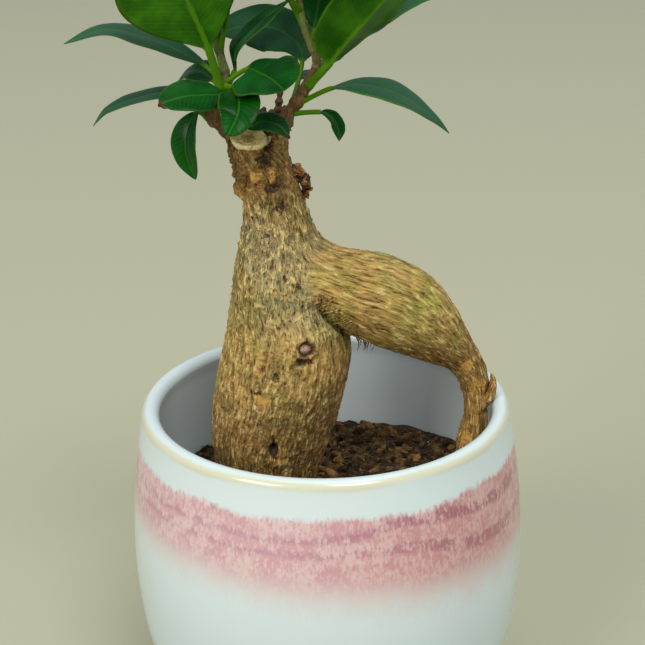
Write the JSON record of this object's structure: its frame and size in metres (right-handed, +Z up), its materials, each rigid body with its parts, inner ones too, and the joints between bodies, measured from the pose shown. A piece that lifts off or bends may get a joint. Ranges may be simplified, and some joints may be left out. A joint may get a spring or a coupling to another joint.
{
  "type": "potted ginseng ficus",
  "caption": "Bonsai-style fig with a swollen trunk, an arched side root and glossy leaves on grafted shoots, planted in a round glazed ceramic pot.",
  "frame": {"origin": "centre of the pot's flat foot, on the surface it stands on", "axes": "+Z up along the pot's axis; +X towards the arched side root; -Y is the side the picture was taken from"},
  "size_m": [0.1468, 0.1338, 0.2959],
  "materials": {
    "glazed_stoneware": "gloss white glaze with a rose band",
    "growing_medium": "loose coir and bark, matte",
    "root_bark": "matte, fibrous",
    "shoot_bark": "matte",
    "bud_sheath": "satin",
    "leaf_green": "gloss above, satin below"
  },
  "bodies": {
    "root": {"pot": "glazed_stoneware", "soil": "growing_medium", "root_and_trunk": "root_bark", "shoot_left": "shoot_bark", "shoot_right": "shoot_bark", "dry_twig": "shoot_bark", "dry_bud_scales": "shoot_bark", "bud_left": "bud_sheath", "bud_right": "bud_sheath", "leaf_front_left_tall": "leaf_green", "leaf_left_long": "leaf_green", "leaf_left_low": "leaf_green", "leaf_left_torn": "leaf_green", "leaf_left_behind": "leaf_green", "leaf_left_hanging": "leaf_green", "leaf_front_fold": "leaf_green", "leaf_centre_round": "leaf_green", "leaf_back_arch": "leaf_green", "leaf_centre_narrow": "leaf_green", "leaf_edge_on": "leaf_green", "leaf_right_inner": "leaf_green", "leaf_right_dark": "leaf_green", "leaf_right_tall": "leaf_green", "leaf_right_far": "leaf_green", "leaf_right_long": "leaf_green", "leaf_right_small": "leaf_green", "leaf_collar": "leaf_green", "leaf_small_behind": "leaf_green", "leaf_left_top": "leaf_green", "leaf_left_back_top": "leaf_green", "leaf_left_crown": "leaf_green", "leaf_left_top_front": "leaf_green", "leaf_left_back_low": "leaf_green", "leaf_right_top": "leaf_green", "leaf_right_back_top": "leaf_green", "leaf_right_crown": "leaf_green", "leaf_right_top_front": "leaf_green", "leaf_back_middle": "leaf_green"}
  },
  "joints": []
}
